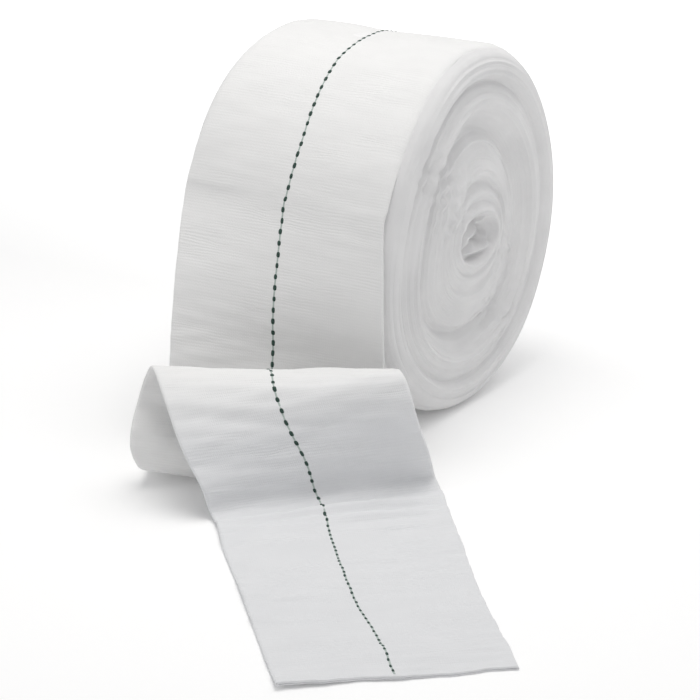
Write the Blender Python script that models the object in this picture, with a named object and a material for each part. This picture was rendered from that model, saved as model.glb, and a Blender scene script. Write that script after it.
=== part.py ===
"""Tubular bandage roll: a flat knitted tube wound on itself, and its loose end folded once in front of it.

Metres, +Z up. The origin is the middle of the roll's flat spot. +X runs along the roll's axis and -Y is
the side on which the loose end lies.
"""

import math

import bpy
import numpy as np

# Driving dimensions

MM = 0.001
ROLL_RADIUS = 46.0 * MM
FLAT_SPOT_DEPTH = 0.4 * MM
SHEET_THICKNESS = 1.2 * MM
SEAT_GAP = 0.35 * MM
TREAD_HALF_WIDTH = 23.0 * MM
HUGGING_WIDTH = 50.5 * MM
START_ANGLE = math.radians(50.0)
LEAVE_ANGLE = math.radians(14.0)
RECESS_END_ANGLE = math.radians(-45.0)
CORE_DROP = 1.8 * MM
CORE_AHEAD = 0.6 * MM
CORE_DEPTH = 0.4 * MM
TREAD_LAYER_EASE = 0.2
SHARP_ANGLE = math.radians(50.0)
STEPS_ROUND = 84
STEPS_ALONG = 6
STEPS_ACROSS = 8
HUGGING_STEPS = 6

AXIS_HEIGHT = ROLL_RADIUS - FLAT_SPOT_DEPTH
RECESS_DEPTH = SHEET_THICKNESS + SEAT_GAP
TREAD_ROWS = (1.0, 0.5, 0.0, -0.5, -1.0)

# Broad lumps across the top of the roll. place and spread are shares of the tread's half width.

TOP_LUMPS = (
    # place, spread, height
    (-0.75, 0.50, 0.50 * MM),
    (-0.15, 0.22, -0.35 * MM),
)
TOP_LUMP_REACH = 0.9
LUMP_EASE_ABOVE = 0.4
LUMP_EASE_BELOW = 0.8
LUMP_SHARE_BELOW = 0.5

# Low waves round the roll. slant is how far a wave runs on from the middle of the tread to its edge.

TREAD_WAVES = (
    # waves a turn, slant, height
    (3.0, 0.9, 0.22 * MM),
    (7.0, -1.3, 0.13 * MM),
)

# Steps between the groups of turns on the ends of the roll, faded out at its shoulder and its core

RIDGE_PITCH = 5.2 * MM
RIDGE_HEIGHT = 0.35 * MM
RIDGE_CORE = 9.0 * MM
RIDGE_CORE_EASE = 6.0 * MM
RIDGE_SHOULDER = 43.0 * MM
RIDGE_SHOULDER_EASE = 5.0 * MM
SWELL_HEIGHT = 0.25 * MM
SWELL_LENGTH = 2.5 * MM

# How the innermost turns are pressed out of round, as shares of their radius

CRUMPLE_RADIUS = 14.0 * MM
CRUMPLE_EASE = 10.0 * MM
CRUMPLE_WAVES = (
    # waves a turn, share, start
    (2.0, 0.20, -0.7),
    (5.0, 0.09, 0.5),
)

# Shallow creases across the loose end. place and reach are shares of its length.

PUCKERS = (
    # place, reach, height, creases a metre, slant, start
    (0.70, 0.05, 0.35 * MM, 136.0, 2.2, 0.0),
    (0.55, 0.05, 0.30 * MM, 0.0, 5.0, 0.6),
)
PUCKER_LIFT = (0.0, -0.5, 0.8)

# Each end of the roll, from its rounded shoulder in to its core, in mm: radius, reach along the axis

RIGHT_END = (
    (45.6, 25.3),
    (44.3, 27.1),
    (42.2, 28.3),
    (39.8, 28.5),
    (37.6, 27.8),
    (35.6, 28.7),
    (33.0, 29.2),
    (30.8, 28.3),
    (28.4, 26.9),
    (26.0, 26.3),
    (23.4, 27.0),
    (20.4, 28.3),
    (17.4, 28.9),
    (14.8, 29.1),
    (12.6, 29.4),
    (10.6, 30.2),
    (8.6, 30.5),
    (6.8, 29.8),
    (5.2, 27.4),
    (2.8, 25.4),
)
LEFT_END = (
    (45.5, 25.2),
    (44.0, 26.8),
    (41.6, 27.6),
    (38.6, 27.4),
    (35.4, 26.9),
    (32.0, 27.0),
    (28.6, 26.5),
    (25.2, 26.1),
    (21.8, 26.4),
    (18.4, 26.0),
    (15.0, 25.7),
    (11.8, 25.9),
    (8.8, 25.8),
    (6.4, 25.0),
    (4.2, 23.4),
    (2.2, 22.6),
)

# The loose end as a row for each bend, in mm and degrees. side, ahead and height place the middle of the
# cloth. turn swings its crosswise line away from the roll's axis, and tilt lowers its right edge.

LOOSE_END = (
    # station, side, ahead, height, turn, tilt, width
    ("hanging", 2.2, 50.0, 40.0, 6.0, 2.0, 51.0),
    ("falling", 3.7, 52.0, 21.0, 16.0, 3.0, 51.0),
    ("sweeping", 5.2, 57.5, 5.6, 20.0, 2.5, 51.0),
    ("on the floor", 8.5, 66.5, 0.6, 21.0, 0.0, 51.0),
    ("under the fold", 13.0, 75.5, 0.6, 21.0, 0.0, 51.0),
    ("bulging ahead", 12.0, 77.0, 9.5, 26.0, -1.0, 51.5),
    ("leaning back", 10.0, 70.0, 18.5, 32.0, 1.5, 52.0),
    ("crest", 14.5, 68.8, 27.2, 36.0, 2.0, 54.5),
    ("brow", 22.0, 74.8, 26.2, 36.0, -4.0, 54.0),
    ("front drop", 27.5, 76.5, 16.5, 38.0, -5.0, 53.3),
    ("toe", 34.0, 78.3, 7.3, 40.5, -4.5, 52.5),
    ("touching down", 44.5, 89.0, 1.4, 42.0, -1.0, 52.0),
    ("lying", 67.5, 115.0, 0.6, 42.0, 0.0, 50.3),
    ("cut edge", 92.0, 140.0, 0.6, 42.0, 0.0, 48.0),
)


def smooth_step(value):
    """0 below 0, 1 above 1, and an even S between them."""
    held = min(max(value, 0.0), 1.0)
    return held * held * (3.0 - 2.0 * held)


def bell(distance, reach):
    """1 at no distance, and falling smoothly to almost nothing at twice the reach."""
    return math.exp(-((distance / reach) ** 2))


def wound_radius(angle):
    """The roll's radius without its unevenness: one layer less under the loose end. Angles run up the front."""
    if angle > START_ANGLE:
        return ROLL_RADIUS
    ease = (LEAVE_ANGLE - angle) / (LEAVE_ANGLE - RECESS_END_ANGLE)
    return ROLL_RADIUS - RECESS_DEPTH * (1.0 - smooth_step(ease))


def tread_lumps(angle, along):
    """How far the wound cloth stands above or below the true round, with none under the loose end."""
    side = along / TREAD_HALF_WIDTH
    top = bell(angle - math.pi / 2, TOP_LUMP_REACH)
    lumps = sum(top * height * bell(side - place, spread) for place, spread, height in TOP_LUMPS)
    waves = sum(height * math.sin(count * angle + slant * side) for count, slant, height in TREAD_WAVES)
    above = smooth_step((angle - START_ANGLE) / LUMP_EASE_ABOVE)
    below = LUMP_SHARE_BELOW * smooth_step((LEAVE_ANGLE - angle) / LUMP_EASE_BELOW)
    return (lumps + waves) * max(above, below)


def end_ridges(radius, angle):
    """The spiral step from one group of turns to the next, shallow at the shoulder and at the core."""
    inner = smooth_step((radius - RIDGE_CORE) / RIDGE_CORE_EASE)
    outer = smooth_step((RIDGE_SHOULDER - radius) / RIDGE_SHOULDER_EASE)
    ridges = RIDGE_HEIGHT * math.sin(2.0 * math.pi * radius / RIDGE_PITCH + angle)
    swell = SWELL_HEIGHT * math.sin(2.0 * angle + radius / SWELL_LENGTH)
    return inner * outer * (ridges + swell)


def core_crumple(radius, angle):
    """How the innermost turns, pressed flat, pull the rings round the core out of round."""
    near = smooth_step((CRUMPLE_RADIUS - radius) / CRUMPLE_EASE)
    pressed = sum(share * math.cos(count * angle + start) for count, share, start in CRUMPLE_WAVES)
    return 1.0 + near * pressed


def placed(radius, angle, along):
    """A point of the roll, its rings a little off centre towards the core, its underside flat on the floor."""
    inward = 1.0 - radius / ROLL_RADIUS
    ahead = radius * math.cos(angle) + CORE_AHEAD * inward
    height = AXIS_HEIGHT + radius * math.sin(angle) - CORE_DROP * inward
    return (along, -ahead, max(height, 0.0))


def roll_angles():
    """Angles down the front from the loose end's start and back round to it, with a sharp step there."""
    step_gap = SEAT_GAP / ROLL_RADIUS
    first = START_ANGLE + step_gap
    spread = 2.0 * math.pi - 0.5 * step_gap
    return [first - spread * k / (STEPS_ROUND - 1) for k in range(STEPS_ROUND)]


def roll_section(angle, is_first):
    """One section of the roll from the right core, over the tread, to the left core."""
    upright = angle % (2.0 * math.pi)
    if upright > 1.5 * math.pi:
        upright -= 2.0 * math.pi
    outer = ROLL_RADIUS - RECESS_DEPTH if is_first else wound_radius(upright)
    points = []
    for table, sign in ((RIGHT_END, 1), (LEFT_END, -1)):
        rows = []
        for radius_mm, reach_mm in table:
            share = radius_mm * MM / ROLL_RADIUS
            near_tread = smooth_step((share - 1.0 + TREAD_LAYER_EASE) / TREAD_LAYER_EASE)
            radius = share * (ROLL_RADIUS + (outer - ROLL_RADIUS) * near_tread)
            radius *= core_crumple(radius, upright)
            reach = reach_mm * MM + end_ridges(radius, upright * sign)
            rows.append(placed(radius, upright, sign * reach))
        points.append(rows)
    tread = []
    for part in TREAD_ROWS:
        along = part * TREAD_HALF_WIDTH
        tread.append(placed(outer + tread_lumps(upright, along), upright, along))
    return points[0][::-1] + tread + points[1]


def add_mesh(name, points, faces, material):
    mesh = bpy.data.meshes.new(name)
    mesh.from_pydata([tuple(point) for point in points], [], faces)
    mesh.materials.append(material)
    mesh.shade_smooth()
    mesh.set_sharp_from_angle(angle=SHARP_ANGLE)
    obj = bpy.data.objects.new(name, mesh)
    bpy.context.scene.collection.objects.link(obj)
    return obj


def make_roll(material):
    sections = [roll_section(angle, k == 0) for k, angle in enumerate(roll_angles())]
    count = len(sections[0])
    points = [point for section in sections for point in section]
    faces = []
    for k in range(STEPS_ROUND):
        here, after = k * count, (k + 1) % STEPS_ROUND * count
        for j in range(count - 1):
            faces.append((here + j, here + j + 1, after + j + 1, after + j))
    for row, table, sign in ((0, RIGHT_END, 1), (count - 1, LEFT_END, -1)):
        centre = len(points)
        floor_of_core = sign * (table[-1][1] * MM - CORE_DEPTH)
        points.append(placed(0.0, 0.0, floor_of_core))
        for k in range(STEPS_ROUND):
            here, after = k * count + row, (k + 1) % STEPS_ROUND * count + row
            faces.append((here, after, centre) if row == 0 else (after, here, centre))
    return add_mesh("roll", points, faces, material)


def hugging_rows():
    """Rows of the loose end while it still lies on the roll, before it leaves straight down."""
    radius = ROLL_RADIUS - SHEET_THICKNESS / 2.0
    rows = []
    for k in range(HUGGING_STEPS + 1):
        angle = START_ANGLE + (LEAVE_ANGLE - START_ANGLE) * k / HUGGING_STEPS
        height = AXIS_HEIGHT + radius * math.sin(angle)
        rows.append((0.0, radius * math.cos(angle), height, 0.0, 0.0, HUGGING_WIDTH))
    return rows


def table_rows():
    rows = []
    for _, side, ahead, height, turn, tilt, width in LOOSE_END:
        angles = (math.radians(turn), math.radians(tilt))
        rows.append((side * MM, ahead * MM, height * MM, *angles, width * MM))
    return rows


def spline(rows, steps):
    """Points of a smooth curve through every row."""
    ends = np.vstack([2 * rows[0] - rows[1], rows, 2 * rows[-1] - rows[-2]])
    found = []
    for a, b, c, d in zip(ends, ends[1:], ends[2:], ends[3:]):
        for k in range(steps):
            t = k / steps
            bend = (2 * a - 5 * b + 4 * c - d) * t**2 + (3 * b - a - 3 * c + d) * t**3
            found.append(b + 0.5 * ((c - a) * t + bend))
    found.append(ends[-2])
    return np.array(found)


def puckers(along, share, length):
    """How far the creases lift the cloth at its crest and where it meets the floor."""
    lift = 0.0
    for place, reach, height, creases, slant, start in PUCKERS:
        wave = math.sin(2.0 * math.pi * creases * along + slant * share + start)
        lift += height * wave * bell(along / length - place, reach)
    return max(lift, 0.0)


def middle_surface():
    """A grid of points along and across the loose end, halfway through the cloth."""
    rows = spline(np.array(hugging_rows() + table_rows()), STEPS_ALONG)
    length = float(np.linalg.norm(np.diff(rows[:, :3], axis=0), axis=1).sum())
    along = 0.0
    grid = []
    for k, (side, ahead, height, turn, tilt, width) in enumerate(rows):
        if k:
            along += float(np.linalg.norm(rows[k, :3] - rows[k - 1, :3]))
        level = math.cos(tilt)
        across = np.array((math.cos(turn) * level, math.sin(turn) * level, -math.sin(tilt)))
        line = []
        for j in range(STEPS_ACROSS + 1):
            share = 2.0 * j / STEPS_ACROSS - 1.0
            point = np.array((side, -ahead, height)) + across * (share * width / 2.0)
            line.append(point + np.array(PUCKER_LIFT) * puckers(along, share, length))
        grid.append(line)
    return np.array(grid)


def make_loose_end(material):
    middle = middle_surface()
    outward = np.cross(np.gradient(middle, axis=0), np.gradient(middle, axis=1))
    outward *= SHEET_THICKNESS / 2.0 / np.linalg.norm(outward, axis=2, keepdims=True)
    face, back = middle + outward, middle - outward
    face[..., 2] = np.maximum(face[..., 2], 0.0)
    back[..., 2] = np.maximum(back[..., 2], 0.0)
    rows, columns = middle.shape[:2]
    points = np.vstack([face.reshape(-1, 3), back.reshape(-1, 3)])
    far = rows * columns
    faces = []
    for k in range(rows - 1):
        for j in range(columns - 1):
            a, b = k * columns + j, (k + 1) * columns + j
            faces.append((a, b, b + 1, a + 1))
            faces.append((far + a, far + a + 1, far + b + 1, far + b))
    for k in range(rows - 1):
        for a, b in ((k * columns, (k + 1) * columns), ((k + 2) * columns - 1, (k + 1) * columns - 1)):
            faces.append((b, a, far + a, far + b))
    for j in range(columns - 1):
        a, b = j, (rows - 1) * columns + j
        faces.append((a, a + 1, far + a + 1, far + a))
        faces.append((b + 1, b, far + b, far + b + 1))
    return add_mesh("loose_end", points, faces, material)


def knit_material(name, colour):
    material = bpy.data.materials.new(name)
    material.use_nodes = True
    shader = material.node_tree.nodes["Principled BSDF"]
    shader.inputs["Base Color"].default_value = (*colour, 1.0)
    shader.inputs["Roughness"].default_value = 0.9
    shader.inputs["Metallic"].default_value = 0.0
    return material


def clear_scene():
    for obj in list(bpy.data.objects):
        bpy.data.objects.remove(obj, do_unlink=True)


clear_scene()
make_roll(knit_material("wound_knit", (0.83, 0.84, 0.84)))
make_loose_end(knit_material("loose_knit", (0.86, 0.87, 0.87)))
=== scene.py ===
"""Looks of the tubular bandage roll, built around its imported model.

Mesh code works in millimetres and turns them into metres when a mesh is made. The frame is the model's
own: +X along the roll's axis, -Y towards the loose end, +Z up, and the origin under the roll.
"""

import math

import bmesh
import bpy
import numpy as np
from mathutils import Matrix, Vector


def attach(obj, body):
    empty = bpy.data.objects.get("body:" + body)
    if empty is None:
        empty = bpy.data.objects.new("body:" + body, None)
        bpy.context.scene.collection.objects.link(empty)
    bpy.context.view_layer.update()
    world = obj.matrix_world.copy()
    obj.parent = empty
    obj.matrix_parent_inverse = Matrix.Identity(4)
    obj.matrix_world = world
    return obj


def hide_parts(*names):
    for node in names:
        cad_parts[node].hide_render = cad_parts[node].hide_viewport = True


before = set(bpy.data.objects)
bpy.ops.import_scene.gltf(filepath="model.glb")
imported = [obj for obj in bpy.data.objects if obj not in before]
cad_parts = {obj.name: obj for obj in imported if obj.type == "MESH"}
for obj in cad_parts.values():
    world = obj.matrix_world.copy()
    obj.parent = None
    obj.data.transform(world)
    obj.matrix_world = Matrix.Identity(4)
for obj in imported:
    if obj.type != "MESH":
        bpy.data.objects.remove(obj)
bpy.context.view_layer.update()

# Sizes, in millimetres

MM = 0.001
ROLL_RADIUS = 46.15
AXIS_HEIGHT = 45.6
TURN_PITCH = 0.65
CLOTH_THICKNESS = 0.62
PLY_THICKNESS = 0.26
LEAVE_ANGLE = math.radians(14.0)
HUGGING_WIDTH = 52.6
SHOULDER_FROM = 23.0
SHOULDER_CURVE = 6.0
SHOULDER_TAPER = 2.6
HUGGING_STEP = math.radians(6.0)
HIDDEN_TURNS = 1.08
CORE_DROP = 1.8
CORE_AHEAD = 0.6
TREAD_HALF_WIDTH = 25.0
STATION_SPACING = 0.5
ACROSS_COUNT = 40
EDGE_CROWDING = 0.9
COURSE_PITCH = 0.75
WALE_PITCH = 0.95
SEED = 11

# Colours, each as a light and a dark one, and the lengths along the cloth between which the loose end
# turns to its greyer colours. These greyer colours are painted shade, for the lower light on the front of
# the fold and on the lying cloth.

WOUND_COLOURS = ((0.88, 0.878, 0.872), (0.79, 0.787, 0.783))
SHADED_LOOSE_COLOURS = ((0.81, 0.815, 0.827), (0.715, 0.721, 0.735))
EDGE_COLOURS = ((0.895, 0.89, 0.89), (0.80, 0.796, 0.80))
YARN_COLOURS = ((0.05, 0.10, 0.08), (0.012, 0.028, 0.022))
THREAD_COLOURS = ((0.50, 0.56, 0.53), (0.34, 0.41, 0.38))
PAINTED_SHADE_FROM = (104.0, 122.0)

# Camera

CAMERA_PLACE = (0.31256, -0.50818, 0.21564)
CAMERA_TARGET = (-0.01956, 0.01983, 0.0)
CAMERA_LENS = 126.9
SENSOR_WIDTH = 36.0

# The loose end as a row for each bend, in millimetres and degrees. side, ahead and height place the middle
# of the cloth. turn swings its crosswise line away from the roll's axis, and tilt lowers its right edge.

LOOSE_END = (
    # station, side, ahead, height, turn, tilt, width
    ("hanging", 4.3, 50.0, 40.0, 6.0, 2.0, 55.2),
    ("falling", 4.7, 52.0, 21.0, 16.0, 3.0, 53.0),
    ("sweeping", 5.2, 57.5, 5.4, 20.0, 2.5, 51.0),
    ("on the floor", 8.5, 66.5, 1.4, 21.0, 2.6, 51.0),
    ("under the fold", 13.0, 75.5, 2.0, 22.5, 3.8, 51.0),
    ("bulging ahead", 12.0, 77.0, 9.8, 27.0, 1.0, 51.5),
    ("leaning back", 10.0, 70.0, 18.5, 32.0, 1.5, 52.0),
    ("crest", 14.9, 68.5, 27.2, 36.0, 2.0, 55.2),
    ("brow", 22.8, 74.8, 26.0, 38.5, -4.0, 54.4),
    ("front drop", 27.4, 76.1, 17.6, 43.5, -4.5, 53.9),
    ("low front", 30.8, 74.8, 9.0, 49.0, -2.0, 53.8),
    ("toe", 32.2, 73.2, 2.2, 52.0, 0.0, 54.5),
    ("landed", 37.0, 77.6, 0.8, 50.0, 0.0, 53.6),
    ("touching down", 47.0, 89.6, 0.5, 45.0, 0.0, 52.2),
    ("lying", 68.4, 114.2, 0.4, 42.0, 0.0, 49.0),
    ("cut edge", 92.0, 140.0, 0.4, 42.0, 0.0, 48.0),
)

# Each end of the roll, from its shoulder in to its core: radius, reach along the axis

RIGHT_END = (
    (46.4, 21.6),
    (45.5, 23.8),
    (45.18, 25.3),
    (44.37, 26.9),
    (43.38, 27.9),
    (41.9, 28.6),
    (40.6, 28.9),
    (39.3, 28.9),
    (38.4, 28.2),
    (37.4, 27.1),
    (36.4, 27.4),
    (34.6, 28.0),
    (33.4, 28.7),
    (32.2, 29.1),
    (31.2, 28.8),
    (29.8, 27.5),
    (28.2, 26.2),
    (26.6, 25.3),
    (25.2, 25.3),
    (24.0, 26.2),
    (21.8, 27.5),
    (19.4, 28.5),
    (17.6, 29.0),
    (16.2, 29.5),
    (15.2, 29.4),
    (14.0, 28.8),
    (12.8, 28.9),
    (11.8, 29.7),
    (10.9, 29.9),
    (9.8, 29.4),
    (9.0, 29.7),
    (8.2, 30.4),
    (7.5, 30.2),
    (6.9, 28.8),
    (6.2, 27.2),
    (5.4, 26.2),
    (3.8, 25.8),
    (0.0, 25.6),
)
LEFT_END = (
    (46.4, 21.6),
    (45.5, 23.8),
    (45.18, 25.3),
    (44.37, 26.6),
    (43.4, 27.3),
    (41.6, 27.6),
    (38.6, 27.4),
    (35.4, 26.9),
    (32.0, 27.0),
    (28.6, 26.5),
    (25.2, 26.1),
    (21.8, 26.4),
    (18.4, 26.0),
    (15.0, 25.7),
    (11.8, 25.9),
    (8.8, 25.8),
    (6.4, 25.0),
    (4.2, 23.4),
    (2.2, 22.6),
    (0.0, 22.4),
)

# Broad lumps across the top of the roll, and low waves round it

TOP_LUMPS = (
    # place, spread, height
    (-0.75, 0.50, 0.50),
    (-0.15, 0.22, -0.35),
)
TOP_LUMP_REACH = 0.9
TREAD_WAVES = (
    # waves a turn, slant, height
    (3.0, 0.9, 0.22),
    (7.0, -1.3, 0.13),
)
LUMP_EASE = 0.4

# How far the visible end stands out at the front, fading round the roll in degrees and in to the core

FRONT_BULGE = 4.0
BULGE_ANGLE = 30.0
BULGE_REACH = 60.0
BULGE_FROM = 8.0
BULGE_FULL = 28.0

# How the rings round the core are pressed out of round and moved back, fading out to the given radius

CORE_EASE_RADIUS = 17.0
CORE_EASE = 12.0
CORE_STRETCH = 0.28
CORE_SQUEEZE = 0.12
CORE_SHIFT = (1.2, -0.4)

# Marker yarn: where it runs across the cloth, by the length from the leaving line to the place

MARKER_LINE = (
    # along, across
    (-300.0, -2.0),
    (-75.0, -2.6),
    (-60.0, -1.4),
    (-46.0, -0.8),
    (-34.0, 0.2),
    (-22.0, 1.1),
    (-12.0, 0.9),
    (0.0, 0.2),
    (12.0, -0.6),
    (60.0, 0.0),
    (100.0, -0.8),
    (112.0, -2.5),
    (127.0, -1.7),
    (137.0, -2.0),
    (145.0, -2.0),
    (161.0, -2.1),
    (186.0, -2.1),
    (196.0, -1.7),
    (204.0, -0.9),
    (221.0, -0.6),
    (232.0, -0.6),
)
STITCHES = (
    # along, pitch, length, width
    (-300.0, 2.75, 1.70, 1.05),
    (115.0, 2.62, 1.60, 1.00),
    (145.0, 2.35, 1.35, 0.85),
    (170.0, 2.05, 1.15, 0.66),
    (230.0, 2.00, 1.10, 0.62),
)
DASH_HEIGHT = 0.22
THREAD_WIDTH = 0.42


def smooth_step(value):
    """0 below 0, 1 above 1, and an even S between them."""
    held = np.clip(value, 0.0, 1.0)
    return held * held * (3.0 - 2.0 * held)


def bell(distance, reach):
    """1 at no distance, and falling smoothly to almost nothing at twice the reach."""
    return np.exp(-((distance / reach) ** 2))


def smooth_through(places, values, wanted):
    """Values of a smooth curve through the given ones. places run upwards."""
    slopes = np.gradient(values, places)
    index = np.clip(np.searchsorted(places, wanted) - 1, 0, len(places) - 2)
    gap = places[index + 1] - places[index]
    t = np.clip((wanted - places[index]) / gap, 0.0, 1.0)
    start = (1 + 2 * t) * (1 - t) ** 2 * values[index] + t * (1 - t) ** 2 * gap * slopes[index]
    end = t**2 * (3 - 2 * t) * values[index + 1] + t**2 * (t - 1) * gap * slopes[index + 1]
    return start + end


def random_curve(rng, places, spacing):
    """A smooth random curve with a new value about every spacing, between about -1 and 1."""
    low, high = places.min(), places.max()
    knots = np.arange(low - 2 * spacing, high + 3 * spacing, spacing)
    return smooth_through(knots, rng.uniform(-1.0, 1.0, len(knots)), places)


def add_mesh(name, points, faces, attributes=None):
    """A shaded mesh object from points in millimetres. attributes are values for each point, by name."""
    mesh = bpy.data.meshes.new(name)
    mesh.from_pydata((points * MM).tolist(), [], faces)
    for key, values in (attributes or {}).items():
        layer = mesh.attributes.new(key, "FLOAT_VECTOR", "POINT")
        layer.data.foreach_set("vector", values.astype(np.float32).ravel())
    mesh.shade_smooth()
    obj = bpy.data.objects.new(name, mesh)
    bpy.context.scene.collection.objects.link(obj)
    return obj


def tread_lumps(angle, along):
    """How far the wound cloth stands above or below the true round."""
    side = along / TREAD_HALF_WIDTH
    top = bell(angle - math.pi / 2, TOP_LUMP_REACH)
    lumps = sum(top * height * bell(side - place, spread) for place, spread, height in TOP_LUMPS)
    waves = sum(height * np.sin(count * angle + slant * side) for count, slant, height in TREAD_WAVES)
    from_leaving = np.abs((angle - LEAVE_ANGLE + math.pi) % (2 * math.pi) - math.pi)
    return (lumps + waves) * smooth_step(from_leaving / LUMP_EASE)


def front_bulge(angle):
    """How much further the visible end stands out towards the front than at the back."""
    away = (np.degrees(angle) - BULGE_ANGLE + 180.0) % 360.0 - 180.0
    return FRONT_BULGE * bell(away, BULGE_REACH)


# The wound turns

TURNS_FROM = 0.97
CORE_RADIUS = 0.7
STEPS_ROUND = 150
RIGHT_SAMPLES = 5
LEFT_SAMPLES = 4
GROOVE_DEPTH = 0.10
GROOVE_BLUNTNESS = 2.6
SHOULDER_GROOVES = 0.3
SHOULDER_GROOVE_EASE = 4.0
TURN_WANDER = 0.05
TURN_WANDER_SPACING = 0.13
GROUP_WANDER = 0.22
GROUP_WANDER_SPACING = 0.9
PATCH_WAVES = 7
PATCH_SLANT = 0.45
PATCH_GAIN = 0.3
PATCHY_TURNS = (0.3, 0.9)
PATCHY_GROUPS = (0.4, 0.8)
PATCHY_GROOVES = (0.25, 0.75)
FADE_AT_TREAD = 7.0
SHOULDER_ENDS = 42.5
SHOULDER_LUMPS_FROM = 25.0

# Uneven places of the visible end, by the angle up from the front. Lengths in millimetres, angles in degrees.

END_DENTS = (
    # radius, angle, width, reach, height
    (39.4, 92.0, 1.0, 34.0, 0.40),
    (37.3, 92.0, 0.8, 36.0, -0.60),
    (33.6, 86.0, 0.5, 20.0, 0.45),
    (32.4, 60.0, 0.6, 18.0, 0.65),
    (30.6, 56.0, 0.6, 16.0, 0.55),
    (36.0, 40.0, 0.6, 22.0, 0.50),
    (28.6, 84.0, 2.4, 46.0, -1.80),
    (25.0, 5.0, 4.0, 30.0, 0.90),
    (16.0, 40.0, 4.0, 24.0, 0.90),
    (25.0, 222.0, 4.0, 30.0, 0.80),
    (39.0, 275.0, 0.9, 40.0, 0.60),
    (41.6, 285.0, 0.8, 44.0, -0.60),
    (26.2, 50.0, 1.1, 14.0, -0.45),
    (26.0, 116.0, 1.2, 18.0, -0.40),
    (28.4, 18.0, 1.1, 22.0, -0.55),
    (22.4, 155.0, 0.5, 24.0, -0.55),
    (20.3, 160.0, 0.5, 20.0, -0.45),
    (16.3, 92.0, 0.8, 44.0, 0.70),
    (13.7, 105.0, 1.1, 36.0, -0.80),
    (11.5, 90.0, 0.6, 50.0, 0.40),
    (7.2, 95.0, 0.6, 40.0, 0.50),
    (24.6, 295.0, 1.2, 30.0, -0.90),
    (18.0, 312.0, 4.5, 34.0, -1.00),
    (27.2, 292.0, 1.2, 32.0, 0.85),
    (30.0, 228.0, 1.6, 26.0, 0.35),
    (34.5, 236.0, 0.6, 24.0, -0.40),
    (38.9, 262.0, 0.7, 34.0, -0.45),
    (42.2, 338.0, 0.4, 20.0, -0.50),
    (40.2, 344.0, 0.4, 18.0, -0.40),
)

# The crumpled cloth in the core, placed by how far back and up from the core's middle it is

CORE_FOLDS = (
    # back, up, slant, reach, width, height
    (4.0, -4.0, 3.0, 6.5, 1.0, 3.2),
    (3.0, -6.1, 2.0, 6.0, 0.6, -1.8),
    (-1.5, -0.6, 52.0, 3.0, 0.9, 2.6),
    (6.0, 0.8, -25.0, 3.0, 0.8, -2.2),
    (2.5, 2.0, 15.0, 3.5, 0.9, 2.0),
    (8.5, -1.2, 60.0, 2.5, 0.8, 1.8),
    (1.0, 1.4, 20.0, 3.0, 0.55, 1.3),
    (5.2, -2.0, -8.0, 3.0, 0.55, -1.5),
    (0.6, -3.4, 12.0, 2.6, 0.55, 1.2),
    (6.6, 3.0, 35.0, 2.2, 0.6, 1.4),
    (2.0, 4.0, -15.0, 2.6, 0.6, -1.3),
)

# Where the visible end is puckered

MOTTLED = (
    # back, up, reach
    (-13.0, 11.0, 9.0),
    (-26.0, 20.0, 7.0),
    (19.0, -8.0, 8.0),
    (14.0, -24.0, 8.0),
)
MOTTLE_WAVES = 12
MOTTLE_LENGTHS = (1.9, 4.2)
MOTTLE_HEIGHT = 0.17
CORE_REACH = 8.0
CORE_REACH_EASE = 3.0


def turn_profile(share):
    """How far a turn's rounded edge falls back, by the share of the way through its thickness."""
    return GROOVE_DEPTH * np.abs(2.0 * share - 1.0) ** GROOVE_BLUNTNESS


def patches(radius, angle, rng):
    """A smooth field between 0 and 1 over an end, in which its rings come and go."""
    total = 0.0
    for _ in range(PATCH_WAVES):
        round_waves = rng.integers(1, 5)
        across_waves = rng.uniform(-PATCH_SLANT, PATCH_SLANT)
        start = rng.uniform(0.0, 2.0 * math.pi)
        total = total + np.sin(round_waves * angle + across_waves * radius + start)
    return smooth_step(0.5 + PATCH_GAIN * total)


def patchy(radius, angle, rng, limits):
    """A share that comes and goes over an end, from the first limit to the sum of both."""
    return limits[0] + limits[1] * patches(radius, angle, rng)


def mottle(back, up, rng):
    """Small puckers in a few places of the visible end."""
    total = 0.0
    for _ in range(MOTTLE_WAVES):
        turn = rng.uniform(0.0, math.pi)
        length = rng.uniform(*MOTTLE_LENGTHS)
        start = rng.uniform(0.0, 2.0 * math.pi)
        run = back * math.cos(turn) + up * math.sin(turn)
        total = total + np.sin(2.0 * math.pi * run / length + start)
    mask = sum(bell(np.hypot(back - place, up - level), reach) for place, level, reach in MOTTLED)
    return MOTTLE_HEIGHT * total * np.minimum(mask, 1.0)


def folded(back, up, folds):
    """The height of a table of straight folds."""
    total = 0.0
    for place, level, slant, reach, width, height in folds:
        turn = math.radians(slant)
        run = (back - place) * math.cos(turn) + (up - level) * math.sin(turn)
        aside = (up - level) * math.cos(turn) - (back - place) * math.sin(turn)
        total = total + height * bell(run, reach) * bell(aside, width)
    return total


def dented(radius, angle, dents):
    """The height of a table of uneven places, each an arc of a ring."""
    total = 0.0
    for place, middle, width, reach, height in dents:
        away = (np.degrees(angle) - middle + 180.0) % 360.0 - 180.0
        total = total + height * bell(radius - place, width) * bell(away, reach)
    return total


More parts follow.
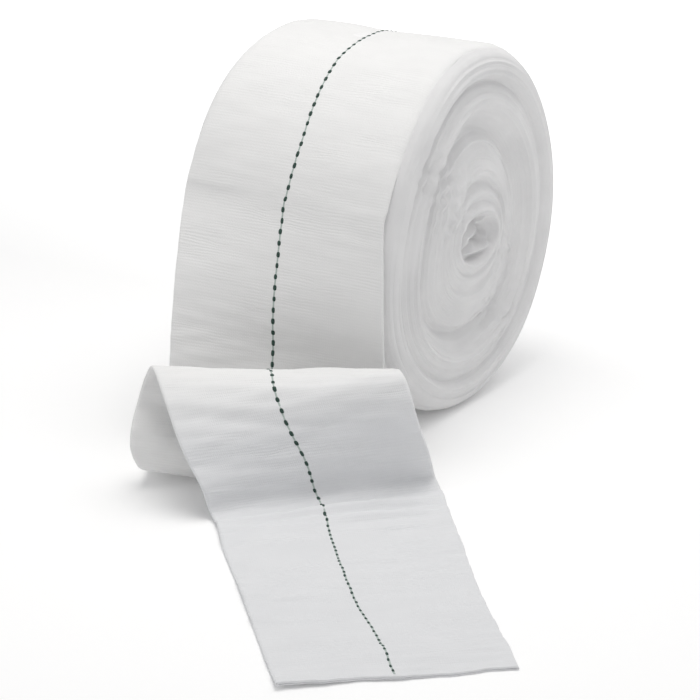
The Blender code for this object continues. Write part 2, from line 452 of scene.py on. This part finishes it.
def end_surface(table, side, samples, rng):
    """The grid of points of one end, a row for each sample through a turn and a column for each angle."""
    radii, reaches = np.array(table)[::-1].T
    last = (ROLL_RADIUS - CORE_RADIUS) / TURN_PITCH
    rows = int((last - TURNS_FROM) * samples)
    step = np.arange(rows + 1)[:, None] / samples
    round_share = np.arange(STEPS_ROUND)[None, :] / STEPS_ROUND
    turn = TURNS_FROM + step + round_share
    angle = LEAVE_ANGLE + 2.0 * math.pi * (TURNS_FROM + round_share) + 0.0 * step
    radius = ROLL_RADIUS - TURN_PITCH * turn
    lumps = tread_lumps(angle % (2 * math.pi), side * TREAD_HALF_WIDTH)
    lump_reach = ROLL_RADIUS - SHOULDER_LUMPS_FROM
    lumps = lumps * smooth_step((radius - SHOULDER_LUMPS_FROM) / lump_reach)
    inside = smooth_step((ROLL_RADIUS - radius) / FADE_AT_TREAD)
    wander = TURN_WANDER * random_curve(rng, turn, TURN_WANDER_SPACING)
    wander = wander * patchy(radius, angle, rng, PATCHY_TURNS)
    groups = GROUP_WANDER * random_curve(rng, turn, GROUP_WANDER_SPACING)
    groups = groups * patchy(radius, angle, rng, PATCHY_GROUPS)
    past_shoulder = smooth_step((SHOULDER_ENDS - radius) / SHOULDER_GROOVE_EASE)
    grooves = SHOULDER_GROOVES + (1.0 - SHOULDER_GROOVES) * past_shoulder
    grooves = grooves * patchy(radius, angle, rng, PATCHY_GROOVES)
    reach = smooth_through(radii, reaches, radius) - turn_profile(turn % 1.0) * grooves
    dents = dented(radius, angle if side > 0 else -angle, END_DENTS)
    reach = reach + inside * (wander + groups + dents)
    if side > 0:
        past_core = smooth_step((radius - BULGE_FROM) / (BULGE_FULL - BULGE_FROM))
        reach = reach + front_bulge(angle) * past_core
        reach = reach + mottle(-radius * np.cos(angle), radius * np.sin(angle), rng)
    near = smooth_step((CORE_EASE_RADIUS - radius) / CORE_EASE)
    back = -(radius + lumps) * np.cos(angle) * (1.0 + CORE_STRETCH * near) + CORE_SHIFT[0] * near
    up = (radius + lumps) * np.sin(angle) * (1.0 - CORE_SQUEEZE * near) + CORE_SHIFT[1] * near
    core = smooth_step((CORE_REACH - radius) / CORE_REACH_EASE)
    reach = reach + core * folded(back, up, CORE_FOLDS)
    inward = 1.0 - radius / ROLL_RADIUS
    height = np.maximum(AXIS_HEIGHT + up - CORE_DROP * inward, 0.0)
    points = np.stack([side * reach, back - CORE_AHEAD * inward, height], axis=-1)
    length = 2.0 * math.pi * (ROLL_RADIUS * turn - 0.5 * TURN_PITCH * turn**2)
    cloth = np.stack([length, turn * TURN_PITCH, np.full_like(turn, 1.0)], axis=-1)
    return points, cloth


def end_faces(index, samples):
    """Faces of an end's spiral grid, its inner and outer rims, and the run of points where a turn starts."""
    rows = index.shape[0] - 1
    faces = []
    for first, after in ((index[:, :-1], index[:, 1:]), (index[:-samples, -1:], index[samples:, :1])):
        quads = np.stack([first[:-1], first[1:], after[1:], after[:-1]], axis=-1)
        faces += quads.reshape(-1, 4).tolist()
    outer = index[0].tolist() + [int(index[samples, 0])]
    inner = index[rows].tolist() + index[rows - samples : rows, -1][::-1].tolist()
    start = index[: samples + 1, 0].tolist()
    return faces, outer, inner, start


def make_wound_turns():
    rng = np.random.default_rng(SEED)
    points, cloths, faces, rims = [], [], [], []
    offset = 0
    for table, side, samples in ((RIGHT_END, 1, RIGHT_SAMPLES), (LEFT_END, -1, LEFT_SAMPLES)):
        grid, cloth = end_surface(table, side, samples, rng)
        index = np.arange(grid[..., 0].size).reshape(grid.shape[:2]) + offset
        found, outer, inner, start = end_faces(index, samples)
        centre = offset + grid[..., 0].size
        points += [grid.reshape(-1, 3), grid[-1].mean(axis=0)[None]]
        cloths += [cloth.reshape(-1, 3), cloth[-1, -1][None]]
        faces += found
        faces += [(a, b, centre) for a, b in zip(inner, inner[1:] + inner[:1])]
        rims.append((outer, start))
        offset = centre + 1
    (right, right_start), (left, left_start) = rims
    for k in range(STEPS_ROUND):
        faces.append((right[k], right[k + 1], left[k + 1], left[k]))
    faces.append(right_start[::-1] + left_start)
    obj = add_mesh("wound_turns", np.vstack(points), faces, {"cloth": np.vstack(cloths)})
    edit = bmesh.new()
    edit.from_mesh(obj.data)
    bmesh.ops.recalc_face_normals(edit, faces=edit.faces)
    edit.to_mesh(obj.data)
    edit.free()
    return obj


# The outermost turn and the loose end

CREASES = (
    # along, across, slant, length, width, height
    (141.0, 2.0, -1.0, 60.0, 1.0, -0.65),
    (143.6, 4.0, 1.0, 54.0, 1.2, 0.95),
    (146.6, 10.0, 2.0, 34.0, 1.0, -0.80),
    (149.6, 12.0, 3.0, 30.0, 1.1, 0.85),
    (152.8, 14.0, 3.0, 26.0, 1.0, -0.70),
    (156.0, 12.0, 4.0, 26.0, 1.1, 0.65),
    (161.0, 14.0, 5.0, 20.0, 1.4, -0.25),
    (146.5, -14.0, -3.0, 20.0, 1.5, -0.30),
    (151.0, -12.0, -3.0, 18.0, 1.6, 0.30),
    (113.0, -14.0, 8.0, 16.0, 1.1, 0.30),
    (117.0, -10.0, 11.0, 18.0, 1.2, -0.30),
    (121.0, -16.0, 9.0, 14.0, 1.2, 0.25),
    (112.0, 12.0, 4.0, 18.0, 1.3, -0.22),
    (116.0, 18.0, 5.0, 14.0, 1.2, 0.22),
)
RIPPLES = (
    # wavelength, direction, spread, height, count
    (30.0, 80.0, 25.0, 0.14, 5),
    (12.0, 85.0, 20.0, 0.07, 8),
    (5.0, 85.0, 18.0, 0.030, 10),
    (2.4, 88.0, 10.0, 0.012, 10),
)
RIPPLE_LENGTHS = (0.7, 1.4)
EDGE_WAVES = (
    # spacing, size
    (34.0, 0.10),
    (9.0, 0.05),
    (3.7, 0.03),
)
EDGE_ROUNDING = 0.55
EDGE_SWELL = 0.25
EDGE_SWELL_REACH = 1.6
CUT_WAVES = (
    # length, height, start
    (31.0, 0.35, 0.4),
    (13.0, 0.22, 2.0),
    (5.0, 0.10, 1.1),
)
CUT_REACH = 6.0
MOUTH_DEPTH = 3.0
MOUTH_STEPS = 4
MOUTH_CLOSES = 0.9
MOUTH_INSET = 0.99
MOUTH_LEAST_GAP = 0.02
SHOULDER_LEAD = 22.0
SPLINE_STEPS = 24
ON_ROLL_WITHIN = 0.5
FREE_EASE = 30.0
LOOSE_AFTER = 15.0
LOOSE_EASE = 20.0
RIPPLES_ON_ROLL = 0.25


def turn_rows():
    """Rows of the outermost turn, from its hidden end under the loose end, back round the roll."""
    rows = []
    count = int(HIDDEN_TURNS * 2.0 * math.pi / HUGGING_STEP)
    for k in range(count, -1, -1):
        turn = k * HUGGING_STEP / (2.0 * math.pi)
        angle = LEAVE_ANGLE + k * HUGGING_STEP
        radius = ROLL_RADIUS - CLOTH_THICKNESS / 2.0 - TURN_PITCH * turn
        height = AXIS_HEIGHT + radius * math.sin(angle)
        bulge = float(front_bulge(angle))
        rows.append((bulge / 2.0, radius * math.cos(angle), height, 0.0, 0.0, HUGGING_WIDTH + bulge))
    return rows


def spline(rows, steps):
    """Points of a smooth curve through every row."""
    ends = np.vstack([2 * rows[0] - rows[1], rows, 2 * rows[-1] - rows[-2]])
    t = (np.arange(steps) / steps)[:, None]
    found = []
    for a, b, c, d in zip(ends, ends[1:], ends[2:], ends[3:]):
        bend = (2 * a - 5 * b + 4 * c - d) * t**2 + (3 * b - a - 3 * c + d) * t**3
        found.append(b + 0.5 * ((c - a) * t + bend))
    found.append(ends[-2][None])
    return np.vstack(found)


def even_stations(path, spacing):
    """The path at places an equal length apart, and each place's length from the start."""
    gaps = np.linalg.norm(np.diff(path[:, :3], axis=0), axis=1)
    along = np.concatenate([[0.0], np.cumsum(gaps)])
    wanted = np.linspace(0.0, along[-1], int(round(along[-1] / spacing)) + 1)
    return wanted, np.stack([np.interp(wanted, along, column) for column in path.T], axis=1)


def across_shares():
    """Places across the cloth from -1 to 1, closer together towards its two folded edges."""
    even = np.linspace(-1.0, 1.0, ACROSS_COUNT)
    return (1.0 - EDGE_CROWDING) * even + EDGE_CROWDING * np.sin(0.5 * math.pi * even)


def ripple_field(along, across, rng):
    """Low ripples of the cloth, mostly running across it."""
    total = np.zeros(np.broadcast(along, across).shape)
    for wavelength, direction, spread, height, count in RIPPLES:
        for _ in range(count):
            turn = math.radians(direction + rng.uniform(-spread, spread))
            length = wavelength * rng.uniform(*RIPPLE_LENGTHS)
            start = rng.uniform(0.0, 2.0 * math.pi)
            run = across * math.cos(turn) + along * math.sin(turn)
            total += height * np.sin(2.0 * math.pi * run / length + start)
    return total


def crease_field(along, across):
    """The creases of the table, as soft ridges or troughs."""
    total = 0.0
    for place, side, slant, length, width, height in CREASES:
        turn = math.radians(slant)
        run = (across - side) * math.cos(turn) + (along - place) * math.sin(turn)
        aside = (along - place) * math.cos(turn) - (across - side) * math.sin(turn)
        total = total + height * bell(run, length / 2.0) * bell(aside, width)
    return total


def leaving_length(along, rows):
    """The length along the cloth at which it leaves the roll."""
    ahead, height = rows[:, 1], rows[:, 2]
    on_roll = np.hypot(ahead, height - AXIS_HEIGHT) < ROLL_RADIUS + ON_ROLL_WITHIN
    return along[np.nonzero(on_roll)[0].max()]


def edge_wave(along, rng):
    """How far one edge of the cloth strays, along its length."""
    return sum(size * random_curve(rng, along, gap) for gap, size in EDGE_WAVES)


def over_shoulders(across, width, on_roll):
    """How far out and how far down the cloth lies where it bends over the roll's shoulders."""
    shoulder = SHOULDER_FROM + (width - HUGGING_WIDTH) / 2.0
    bend = np.maximum(np.abs(across) - shoulder, 0.0) / SHOULDER_CURVE * on_roll
    out = np.abs(across) - SHOULDER_CURVE * (bend - np.sin(bend)) * (on_roll > 0)
    return np.sign(across) * out, SHOULDER_CURVE * (1.0 - np.cos(bend))


class Cloth:
    """The outermost turn and the loose end as one grid of middle points, normals and half thicknesses."""

    def __init__(self):
        rng = np.random.default_rng(SEED + 1)
        table = [(*row[1:4], math.radians(row[4]), math.radians(row[5]), row[6]) for row in LOOSE_END]
        path = spline(np.array(turn_rows() + table), SPLINE_STEPS)
        along, rows = even_stations(path, STATION_SPACING)
        self.length = along[-1]
        self.leaving = leaving_length(along, rows)
        shares = across_shares()
        side, ahead, height, turn, tilt, width = rows.T
        left, right = edge_wave(along, rng)[:, None], edge_wave(along, rng)[:, None]
        free = smooth_step((along - self.leaving) / FREE_EASE)[:, None]
        half = width[:, None] / 2.0 + free * np.where(shares < 0.0, left, right)
        self.across = shares[None, :] * half
        self.along = along[:, None] - self.leaving + 0.0 * self.across
        level = np.cos(tilt)
        line = np.stack([np.cos(turn) * level, np.sin(turn) * level, -np.sin(tilt)], axis=-1)
        on_roll = (1.0 - smooth_step((along - self.leaving + SHOULDER_LEAD) / SHOULDER_LEAD))[:, None]
        aside, drop = over_shoulders(self.across, width[:, None], on_roll)
        middle = np.stack([side, -ahead, height], axis=-1)[:, None] + aside[..., None] * line[:, None]
        from_edge = half - np.abs(self.across)
        taper = EDGE_ROUNDING + (SHOULDER_TAPER - EDGE_ROUNDING) * on_roll
        rounding = np.sqrt(np.clip(1.0 - (1.0 - np.minimum(from_edge / taper, 1.0)) ** 2, 0.0, 1.0))
        flush = CLOTH_THICKNESS / 2.0 * (1.0 - rounding) * on_roll
        middle = self.lumped(middle, drop + flush)
        normal = self.normals(middle)
        loose = smooth_step((self.along - LOOSE_AFTER) / LOOSE_EASE)
        rippled = RIPPLES_ON_ROLL + (1.0 - RIPPLES_ON_ROLL) * loose
        lift = ripple_field(self.along, self.across, rng) * rippled
        lift += crease_field(self.along, self.across)
        self.middle = self.cut(middle + normal * lift[..., None])
        self.middle[..., 2] = np.maximum(self.middle[..., 2], CLOTH_THICKNESS / 2.0)
        self.normal = self.normals(self.middle)
        swell = 1.0 + EDGE_SWELL * free * bell(from_edge, EDGE_SWELL_REACH)
        self.half_thickness = CLOTH_THICKNESS / 2.0 * rounding * swell

    def lumped(self, middle, drop):
        """The middle points with the tread's lumps and rounded shoulders, where the cloth is on the roll."""
        ahead, height = -middle[..., 1], middle[..., 2] - AXIS_HEIGHT
        angle = np.arctan2(height, ahead) % (2.0 * math.pi)
        out = tread_lumps(angle, middle[..., 0]) * (self.along < 0.0) - drop
        shift = np.stack([0.0 * out, -np.cos(angle) * out, np.sin(angle) * out], axis=-1)
        return middle + shift

    def normals(self, middle):
        """The way out of the cloth at each middle point."""
        normal = np.cross(np.gradient(middle, axis=0), np.gradient(middle, axis=1))
        return normal / np.linalg.norm(normal, axis=2, keepdims=True)

    def cut(self, middle):
        """The middle points with the cut edge's slight waves."""
        to_cut = self.length - self.leaving - self.along
        pull = smooth_step(1.0 - to_cut / CUT_REACH)
        ahead = np.gradient(middle, axis=0)
        ahead /= np.linalg.norm(ahead, axis=2, keepdims=True)
        wave = sum(
            size * np.sin(2.0 * math.pi * self.across / gap + start) for gap, size, start in CUT_WAVES
        )
        return middle + ahead * (pull * wave)[..., None]

    def place(self, along, across):
        """The outer face's points and normals at lengths and places across."""
        row = np.interp(along, self.along[:, 0], np.arange(len(self.along)))
        low = np.clip(row.astype(int), 0, len(self.along) - 2)
        share = row - low
        found = []
        for grid in (self.middle + self.normal * self.half_thickness[..., None], self.normal):
            ends = []
            for level in (low, low + 1):
                columns = [
                    [np.interp(u, self.across[k], grid[k, :, axis]) for axis in range(3)]
                    for k, u in zip(level, across)
                ]
                ends.append(np.array(columns))
            found.append(ends[0] * (1.0 - share[:, None]) + ends[1] * share[:, None])
        return found


def mouth_row(cloth, share):
    """The row of the cloth a share of the way into the open cut end, and the ring of points that lines it."""
    row = -1 - int(round(share * MOUTH_DEPTH / STATION_SPACING))
    gap = np.maximum(cloth.half_thickness[row] - PLY_THICKNESS, MOUTH_LEAST_GAP)
    open_by = gap[:, None] * (1.0 - MOUTH_CLOSES * share)
    centre = cloth.middle[row].mean(axis=0)
    narrower = centre + (cloth.middle[row] - centre) * MOUTH_INSET
    upper = narrower + cloth.normal[row] * open_by
    lower = narrower - cloth.normal[row] * open_by
    return row, np.concatenate([upper, lower[-2:0:-1]])


def cap_faces(ring):
    """Faces that close a ring of points by joining its upper half to its lower half."""
    half = ACROSS_COUNT
    upper = ring[:half]
    lower = np.concatenate([ring[:1], ring[: half - 1 : -1], ring[half - 1 : half]])
    quads = zip(upper, upper[1:], lower[1:], lower)
    return [[int(point) for point in dict.fromkeys(quad)] for quad in quads]


def make_bandage_end(cloth):
    """The flattened tube: its faces join round the folded edges, and its cut end is an open mouth."""
    out = cloth.normal * cloth.half_thickness[..., None]
    face, back = cloth.middle + out, cloth.middle - out
    back[..., 2] = np.maximum(back[..., 2], 0.0)
    ring = np.concatenate([face, back[:, -2:0:-1]], axis=1)
    under = 2.0 * cloth.across[:, -1:] - cloth.across[:, -2:0:-1]
    around = np.concatenate([cloth.across, under], axis=1)
    lengths = np.concatenate([cloth.along, cloth.along[:, -2:0:-1]], axis=1)
    mouth = [mouth_row(cloth, k / (MOUTH_STEPS - 1)) for k in range(MOUTH_STEPS)]
    lined = [row for row, _ in mouth]
    grid = np.concatenate([ring, np.array([points for _, points in mouth])])
    around = np.concatenate([around, around[lined]])
    lengths = np.concatenate([lengths, lengths[lined]])
    rows, columns = grid.shape[:2]
    index = np.arange(rows * columns).reshape(rows, columns)
    after = np.roll(index, -1, axis=1)
    quads = np.stack([index[:-1], index[1:], after[1:], after[:-1]], axis=-1)
    faces = quads.reshape(-1, 4).tolist()
    faces += cap_faces(index[0])
    faces += [face[::-1] for face in cap_faces(index[-1])]
    values = np.stack([around, lengths, 0.0 * around], axis=-1).reshape(-1, 3)
    return add_mesh("bandage_end", grid.reshape(-1, 3), faces, {"cloth": values})


# The marker yarn

DASH_ROWS = 7
DASH_SIDES = 6
DASH_BLUNTNESS = 2.6
DASH_TIP = 0.12
DASH_SINK = 0.04
DASH_SHIFT = 0.12
DASH_ASIDE = 0.08
DASH_LENGTHS = (0.85, 1.12)
DASH_WIDTHS = (0.9, 1.1)
THREAD_STEP = 0.8
THREAD_RISE = 0.05
THREAD_LIFT = 0.01
HIDDEN_START = 12.0
CUT_MARGIN = 0.6


def marker_across(along):
    """Where the marker runs across the cloth, at each length."""
    places, across = np.array(MARKER_LINE).T
    return smooth_through(places, across, along)


def strip_faces(index):
    """Faces of a grid of points that lies on the cloth's outer face."""
    quads = np.stack([index[:-1, :-1], index[:-1, 1:], index[1:, 1:], index[1:, :-1]], axis=-1)
    return quads.reshape(-1, 4)[:, ::-1].tolist()


def make_marker(cloth):
    """Short domed stitches along the cloth's outer face, and the thin thread between them."""
    rng = np.random.default_rng(SEED + 2)
    first = cloth.along[0, 0] + HIDDEN_START
    last = cloth.along[-1, 0] - CUT_MARGIN
    places, pitches, dash_lengths, dash_widths = np.array(STITCHES).T
    centres = [first]
    while centres[-1] < last:
        centres.append(centres[-1] + np.interp(centres[-1], places, pitches))
    centres = np.array(centres[:-1])
    centres = centres + rng.uniform(-DASH_SHIFT, DASH_SHIFT, len(centres))
    points, faces = [], []
    lengthwise = np.linspace(-1.0, 1.0, DASH_ROWS)
    crosswise = np.linspace(-1.0, 1.0, DASH_SIDES)
    for centre in centres:
        dash_length = np.interp(centre, places, dash_lengths) * rng.uniform(*DASH_LENGTHS)
        dash_width = np.interp(centre, places, dash_widths) * rng.uniform(*DASH_WIDTHS)
        run = centre + lengthwise * dash_length / 2.0
        swell = np.sqrt(np.clip(1.0 - np.abs(lengthwise) ** DASH_BLUNTNESS, 0.0, 1.0))
        middle = marker_across(run) + rng.uniform(-DASH_ASIDE, DASH_ASIDE)
        start = sum(len(p) for p in points)
        for across_share in crosswise:
            aside = across_share * dash_width / 2.0 * np.maximum(swell, DASH_TIP)
            surface, normal = cloth.place(run, middle + aside)
            rise = DASH_HEIGHT * swell * (1.0 - across_share**2) - DASH_SINK
            points.append(surface + normal * rise[:, None])
        index = start + np.arange(DASH_ROWS * DASH_SIDES).reshape(DASH_SIDES, DASH_ROWS)
        faces += strip_faces(index)
    dashes = add_mesh("marker_stitches", np.vstack(points), faces)
    places = np.arange(first, last, THREAD_STEP)
    strip = []
    for across_share in (-1.0, 0.0, 1.0):
        aside = across_share * THREAD_WIDTH / 2.0
        surface, normal = cloth.place(places, marker_across(places) + aside)
        strip.append(surface + normal * (THREAD_RISE * (1.0 - across_share**2) + THREAD_LIFT))
    index = np.arange(3 * len(places)).reshape(3, len(places))
    thread = add_mesh("marker_thread", np.vstack(strip), strip_faces(index))
    return dashes, thread


# Materials

SHEEN = 0.25
SHEEN_ROUGHNESS = 0.6
SPECULAR = 0.25


class Graph:
    """Adds nodes to a material in short calls. A value that is a socket is linked, and any other is set."""

    def __init__(self, name):
        self.material = bpy.data.materials.new(name)
        self.material.use_nodes = True
        self.tree = self.material.node_tree
        self.shader = self.tree.nodes["Principled BSDF"]

    def put(self, socket, value):
        if isinstance(value, bpy.types.NodeSocket):
            self.tree.links.new(value, socket)
        else:
            socket.default_value = value

    def add(self, kind, *values, **settings):
        node = self.tree.nodes.new(kind)
        for key, value in settings.items():
            setattr(node, key, value)
        for socket, value in zip(node.inputs, values):
            if value is not None:
                self.put(socket, value)
        return node

    def math(self, operation, *values):
        return self.add("ShaderNodeMath", *values, operation=operation).outputs[0]

    def scaled(self, vector, scale):
        return self.add("ShaderNodeVectorMath", vector, scale, operation="MULTIPLY").outputs[0]

    def noise(self, vector, scale, detail=2.0, roughness=0.5):
        node = self.tree.nodes.new("ShaderNodeTexNoise")
        self.put(node.inputs["Vector"], vector)
        self.put(node.inputs["Scale"], scale)
        self.put(node.inputs["Detail"], detail)
        self.put(node.inputs["Roughness"], roughness)
        return node.outputs["Fac"]

    def ramp(self, value, low, high, out_low, out_high):
        node = self.add("ShaderNodeMapRange", value, low, high, out_low, out_high)
        return node.outputs[0]

    def blend(self, share, first, second):
        node = self.tree.nodes.new("ShaderNodeMix")
        node.data_type = "RGBA"
        self.put(node.inputs[0], share)
        self.put(node.inputs[6], first)
        self.put(node.inputs[7], second)
        return node.outputs[2]

    def mix(self, share, first, second):
        return self.blend(share, (*first, 1.0), (*second, 1.0))

    def finish(self, colour, height, bump, distance, roughness, sheen=SHEEN):
        """The material with its colour, and with a height that is scaled to a distance in metres."""
        node = self.tree.nodes.new("ShaderNodeBump")
        self.put(node.inputs["Strength"], bump)
        self.put(node.inputs["Distance"], distance)
        self.put(node.inputs["Height"], height)
        self.tree.links.new(node.outputs[0], self.shader.inputs["Normal"])
        self.put(self.shader.inputs["Base Color"], colour)
        self.put(self.shader.inputs["Roughness"], roughness)
        self.put(self.shader.inputs["Sheen Weight"], sheen)
        self.put(self.shader.inputs["Sheen Roughness"], SHEEN_ROUGHNESS)
        self.put(self.shader.inputs["Specular IOR Level"], SPECULAR)
        return self.material


def cloth_axes(graph):
    """The cloth's own coordinates in millimetres: across, along, and the two as one vector."""
    attribute = graph.tree.nodes.new("ShaderNodeAttribute")
    attribute.attribute_name = "cloth"
    vector = attribute.outputs["Vector"]
    parts = graph.add("ShaderNodeSeparateXYZ", vector)
    return parts.outputs[0], parts.outputs[1], vector


def knit_material(name, light, dark, shaded_light, shaded_dark):
    """Fine jersey: columns of small V stitches, with crosswise crinkles that come and go. The colour varies
    in random blotches and is darker where the knit's height is low, as painted shade in its hollows. The
    second pair of colours is for the loose end past the crest, greyer as painted shade for the lower light on
    the fold's front and on the lying cloth."""
    graph = Graph(name)
    across, along, vector = cloth_axes(graph)
    drift = graph.noise(graph.scaled(vector, (0.07, 0.30, 1.0)), 1.0, detail=3.0)
    drifted = graph.math("MULTIPLY_ADD", drift, 3.2, along)
    crinkle = graph.math("SINE", graph.math("MULTIPLY", drifted, 2.0 * math.pi / COURSE_PITCH))
    area = graph.noise(graph.scaled(vector, (0.035, 0.10, 1.0)), 1.0)
    strength = graph.ramp(area, 0.42, 0.66, 0.05, 1.1)
    crinkles = graph.math("MULTIPLY", crinkle, strength)
    wale = graph.math("PINGPONG", graph.math("MULTIPLY", across, 1.0 / WALE_PITCH), 0.5)
    vee = graph.math("MULTIPLY_ADD", wale, 0.9, graph.math("MULTIPLY", along, 1.0 / COURSE_PITCH))
    stitch = graph.math("SINE", graph.math("MULTIPLY", vee, 2.0 * math.pi))
    column = graph.math("SINE", graph.math("MULTIPLY", wale, 2.0 * math.pi))
    knit = graph.math("MULTIPLY", graph.math("MULTIPLY_ADD", stitch, 0.5, 0.5), column)
    fuzz = graph.noise(graph.scaled(vector, (2.4, 3.2, 1.0)), 1.0, detail=4.0, roughness=0.65)
    height = graph.math("MULTIPLY_ADD", crinkles, 0.13, graph.math("MULTIPLY", knit, 0.20))
    height = graph.math("MULTIPLY_ADD", fuzz, 0.35, height)
    blotch = graph.noise(graph.scaled(vector, (0.08, 0.12, 1.0)), 1.0, detail=3.0)
    blotched = graph.math("MULTIPLY_ADD", blotch, 0.7, -0.1)
    # Painted shade: the colour is darker where the knit's height is low, in its hollows, on top of random
    # blotches of tone.
    blotch_and_hollow_shade = graph.math("MULTIPLY_ADD", blotched, 0.6, graph.math("MULTIPLY", height, 0.5))
    tone = graph.ramp(blotch_and_hollow_shade, 0.0, 0.6, 0.0, 1.0)
    # Painted shade: past the crest the loose end turns to its greyer colours, for the lower light on the
    # fold's front and on the lying cloth.
    painted_shade = graph.ramp(along, *PAINTED_SHADE_FROM, 0.0, 1.0)
    colour = graph.blend(painted_shade, graph.mix(tone, dark, light), graph.mix(tone, shaded_dark, shaded_light))
    return graph.finish(colour, height, bump=0.55, distance=0.00022, roughness=0.92)


def edge_material(name, light, dark):
    """The folded edges of the turns: loops across each turn, uneven and a little fibrous."""
    graph = Graph(name)
    vector = cloth_axes(graph)[2]
    loops = graph.noise(graph.scaled(vector, (1.3, 1.0, 1.0)), 1.0, detail=3.0, roughness=0.6)
    fibres = graph.noise(graph.scaled(vector, (0.5, 7.0, 1.0)), 1.0, detail=3.0, roughness=0.6)
    height = graph.math("MULTIPLY_ADD", loops, 0.6, graph.math("MULTIPLY", fibres, 0.4))
    position = graph.add("ShaderNodeTexCoord").outputs["Object"]
    blotch = graph.noise(position, 90.0, detail=3.0)
    # Painted shade: the colour is darker where the loops and fibres are low, in their hollows, on top of
    # random blotches of tone.
    blotch_and_hollow_shade = graph.math("MULTIPLY_ADD", blotch, 0.6, graph.math("MULTIPLY", height, 0.4))
    colour = graph.mix(graph.ramp(blotch_and_hollow_shade, 0.3, 0.7, 0.0, 1.0), dark, light)
    return graph.finish(colour, height, bump=0.6, distance=0.0003, roughness=0.93)


def yarn_material(name, light, dark):
    """Fine strands of the marker yarn."""
    graph = Graph(name)
    position = graph.add("ShaderNodeTexCoord").outputs["Object"]
    strands = graph.noise(graph.scaled(position, (1.0, 1.0, 2.0)), 4200.0)
    colour = graph.mix(graph.ramp(strands, 0.3, 0.7, 0.0, 1.0), dark, light)
    return graph.finish(colour, strands, bump=0.5, distance=0.0001, roughness=0.85, sheen=0.1)


def floor_material():
    """A pale floor that glows more behind the roll, as a backdrop with its own lamps does."""
    graph = Graph("floor")
    position = graph.add("ShaderNodeTexCoord").outputs["Object"]
    behind = graph.add("ShaderNodeSeparateXYZ", position).outputs[1]
    graph.put(graph.shader.inputs["Base Color"], FLOOR_COLOUR)
    graph.put(graph.shader.inputs["Roughness"], 0.9)
    graph.put(graph.shader.inputs["Specular IOR Level"], 0.1)
    graph.put(graph.shader.inputs["Emission Color"], (1.0, 1.0, 1.0, 1.0))
    graph.put(graph.shader.inputs["Emission Strength"], graph.ramp(behind, *FLOOR_GLOW))
    return graph.material


# Floor, light and camera. FLOOR_GLOW holds the two places behind the roll between which the glow rises,
# and then the glow at each.

FLOOR_HALF = 3.0
FLOOR_DROP = 0.0001
FLOOR_COLOUR = (0.97, 0.97, 0.97, 1.0)
FLOOR_GLOW = (0.04, 0.40, 0.07, 0.70)
LIGHTS = (
    # name, place, size, watts, colour
    ("softbox", (0.30, 0.30, 1.50), 1.5, 6.1, (1.0, 0.99, 0.98)),
    ("overhead", (0.00, -0.05, 0.40), 0.28, 0.50, (1.0, 0.985, 0.96)),
)
SKY_COLOUR = (0.985, 0.99, 1.0, 1.0)
SKY_STRENGTH = 0.53


def make_floor():
    mesh = bpy.data.meshes.new("floor")
    corners = ((-1, -1), (1, -1), (1, 1), (-1, 1))
    points = [(x * FLOOR_HALF, y * FLOOR_HALF, -FLOOR_DROP) for x, y in corners]
    mesh.from_pydata(points, [], [(0, 1, 2, 3)])
    floor = bpy.data.objects.new("floor", mesh)
    bpy.context.scene.collection.objects.link(floor)
    mesh.materials.append(floor_material())


def make_lights():
    for name, place, size, watts, colour in LIGHTS:
        data = bpy.data.lights.new(name, "AREA")
        data.shape = "DISK"
        data.size = size
        data.energy = watts
        data.color = colour
        light = bpy.data.objects.new(name, data)
        light.location = place
        light.rotation_euler = (-Vector(place)).to_track_quat("-Z", "Y").to_euler()
        bpy.context.scene.collection.objects.link(light)
    world = bpy.data.worlds.new("studio")
    bpy.context.scene.world = world
    world.use_nodes = True
    background = world.node_tree.nodes["Background"]
    background.inputs["Color"].default_value = SKY_COLOUR
    background.inputs["Strength"].default_value = SKY_STRENGTH
    bpy.context.scene.view_settings.view_transform = "Standard"
    bpy.context.scene.view_settings.look = "None"


def make_camera():
    data = bpy.data.cameras.new("camera")
    data.sensor_width = SENSOR_WIDTH
    data.lens = CAMERA_LENS
    data.dof.use_dof = False
    camera = bpy.data.objects.new("camera", data)
    camera.location = CAMERA_PLACE
    way = Vector(CAMERA_TARGET) - Vector(CAMERA_PLACE)
    camera.rotation_euler = way.to_track_quat("-Z", "Y").to_euler()
    bpy.context.scene.collection.objects.link(camera)
    bpy.context.scene.camera = camera


# The pieces

turns = make_wound_turns()
turns.data.materials.append(edge_material("wound_knit", *EDGE_COLOURS))
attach(turns, "root")
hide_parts("roll")

cloth = Cloth()
bandage = make_bandage_end(cloth)
bandage.data.materials.append(knit_material("loose_knit", *WOUND_COLOURS, *SHADED_LOOSE_COLOURS))
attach(bandage, "root")
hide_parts("loose_end")

stitches, thread = make_marker(cloth)
stitches.data.materials.append(yarn_material("marker_yarn", *YARN_COLOURS))
thread.data.materials.append(yarn_material("marker_thread", *THREAD_COLOURS))
for piece in (stitches, thread):
    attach(piece, "root")

make_floor()
make_lights()
make_camera()
